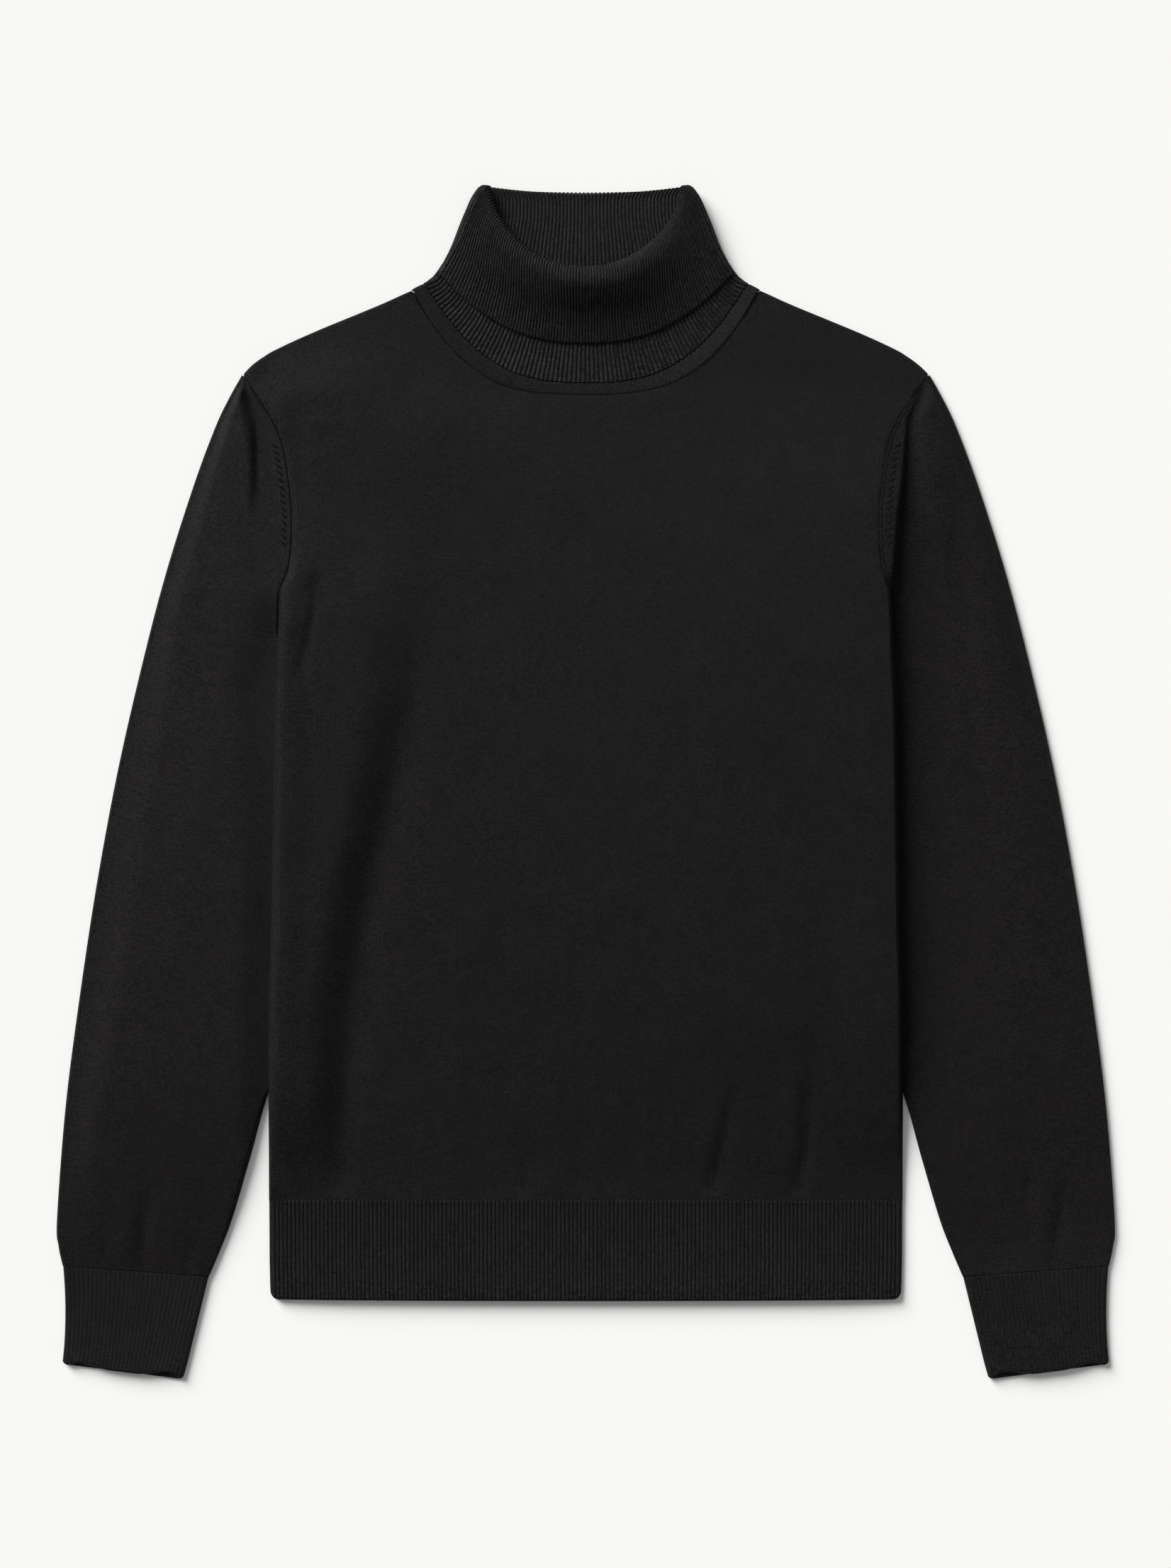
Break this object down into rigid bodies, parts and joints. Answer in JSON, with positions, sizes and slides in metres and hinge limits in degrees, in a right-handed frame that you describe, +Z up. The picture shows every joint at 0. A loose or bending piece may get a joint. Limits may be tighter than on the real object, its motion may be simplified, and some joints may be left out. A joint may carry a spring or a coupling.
{
  "type": "turtleneck sweater",
  "caption": "Fine-knit turtleneck sweater lying flat, with a turned ribbed collar, long set-in sleeves, and a ribbed hem and cuffs.",
  "frame": {"origin": "centre of the bounding box in plan, on the surface that the garment lies on", "axes": "+Y from the hem to the collar, +Z up from the surface, out of the garment's front, and +X to the right of a viewer who looks down on the front"},
  "size_m": [0.7012, 0.7927, 0.0184],
  "materials": {
    "jersey_knit": "matt, fine plain knit",
    "rib_knit": "matt, fine one-by-one rib",
    "band_knit": "matt, linked plain knit"
  },
  "bodies": {
    "root": {"front": "jersey_knit", "back": "jersey_knit", "sleeve_left": "jersey_knit", "sleeve_right": "jersey_knit", "hem_rib_front": "rib_knit", "hem_rib_back": "rib_knit", "cuff_left": "rib_knit", "cuff_right": "rib_knit", "collar": "rib_knit", "neck_band": "band_knit"}
  },
  "joints": []
}
